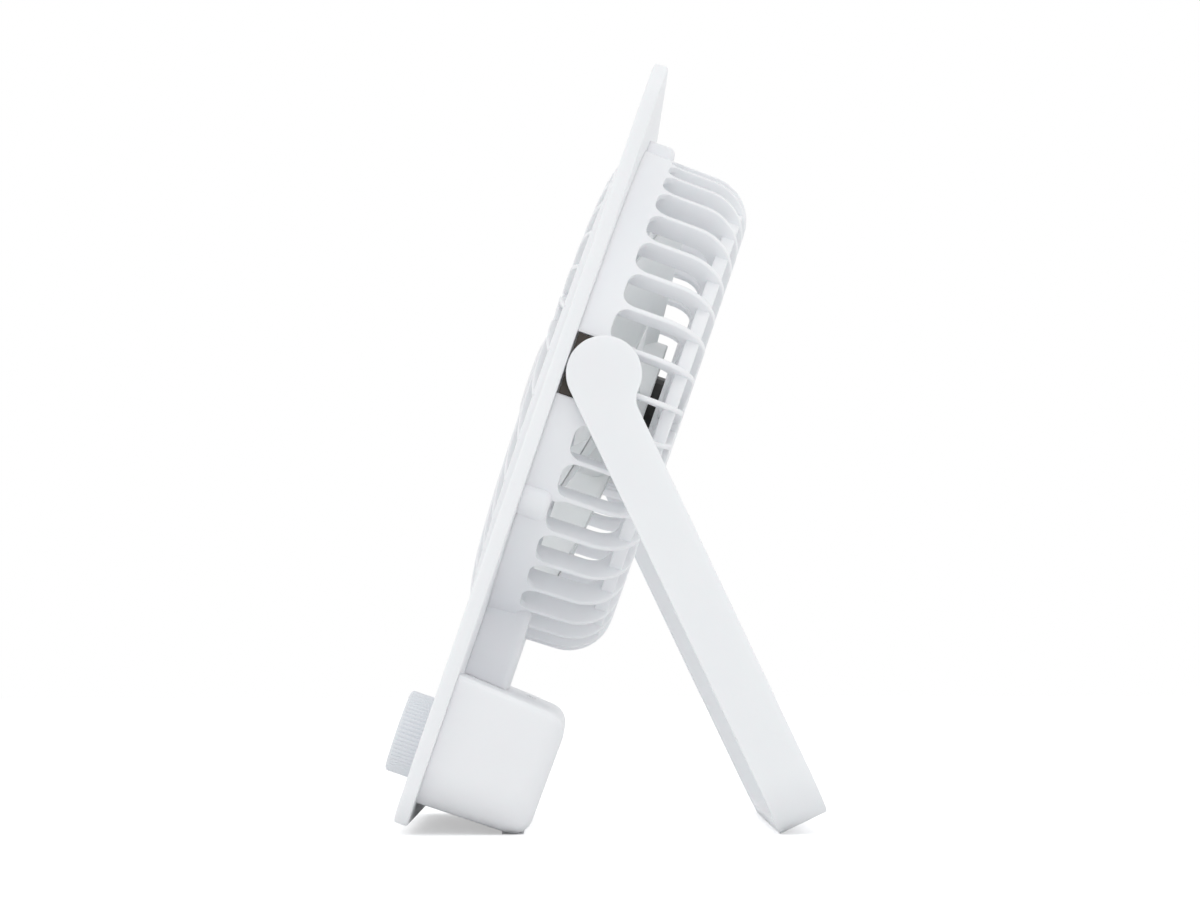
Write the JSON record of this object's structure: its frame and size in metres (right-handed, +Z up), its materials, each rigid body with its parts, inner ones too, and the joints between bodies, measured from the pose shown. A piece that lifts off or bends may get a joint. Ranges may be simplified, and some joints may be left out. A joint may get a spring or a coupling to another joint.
{
  "type": "rechargeable desk fan",
  "caption": "Free-standing rechargeable fan: flat front panel, domed spiral grille, finned round housing, battery box, knob, and a U-shaped stand that doubles as a handle.",
  "frame": {"origin": "centre of the footprint, on the surface that the fan stands on", "axes": "+Z up, -Y the way the air blows (the panel's front, which leans back by 19.1 degrees), +X along the stand's pivot axis"},
  "size_m": [0.1806, 0.1458, 0.2491],
  "materials": {
    "shell": "fine matte",
    "knob": "satin",
    "blade": "semi-gloss",
    "motor": "semi-gloss black",
    "steel": "bright",
    "dark_steel": "dark satin",
    "bronze": "satin",
    "nylon": "matte",
    "dark_plastic": "matte",
    "board": "satin",
    "cell": "sleeved",
    "rubber": "matte"
  },
  "bodies": {
    "housing": {"front_panel": "shell", "front_grille": "shell", "grille_cap": "shell", "rear_housing": "shell", "battery_box": "shell", "motor": "motor", "motor_bush": "bronze", "foot_right": "rubber", "foot_left": "rubber", "cell_tray": "dark_plastic", "battery_cell_right": "cell", "battery_cell_left": "cell", "control_board": "board", "charge_socket": "steel", "charge_board": "board", "speed_switch": "dark_plastic", "hinge_plate_right": "dark_steel", "hinge_plate_left": "dark_steel", "pivot_spacer_right": "nylon", "pivot_spacer_left": "nylon", "motor_screw_1": "steel", "motor_screw_2": "steel", "housing_screw_1": "steel", "housing_screw_2": "steel", "housing_screw_3": "steel", "box_screw_1": "steel", "box_screw_2": "steel", "box_screw_3": "steel", "box_screw_4": "steel", "board_screw_1": "steel", "board_screw_2": "steel"},
    "stand": {"stand": "shell", "pivot_washer_right": "steel", "pivot_washer_left": "steel", "pivot_screw_right": "steel", "pivot_screw_left": "steel"},
    "impeller": {"impeller": "blade", "impeller_nut": "blade", "motor_shaft": "steel"},
    "knob": {"knob": "knob", "dial_shaft": "steel"}
  },
  "joints": [
    {"name": "stand_hinge", "type": "hinge", "parent": "housing", "child": "stand", "pos_m": [0, 0.00125, 0.14761], "axis": [1, 0, 0], "range_deg": [-43.5, 135]},
    {"name": "impeller_spin", "type": "hinge", "parent": "housing", "child": "impeller", "pos_m": [0, -0.00096, 0.1452], "axis": [0, 0.9449, -0.3272], "continuous": true},
    {"name": "knob_turn", "type": "hinge", "parent": "housing", "child": "knob", "pos_m": [0, -0.06301, 0.03017], "axis": [0, 0.9449, -0.3272], "range_deg": [0, 270]}
  ]
}
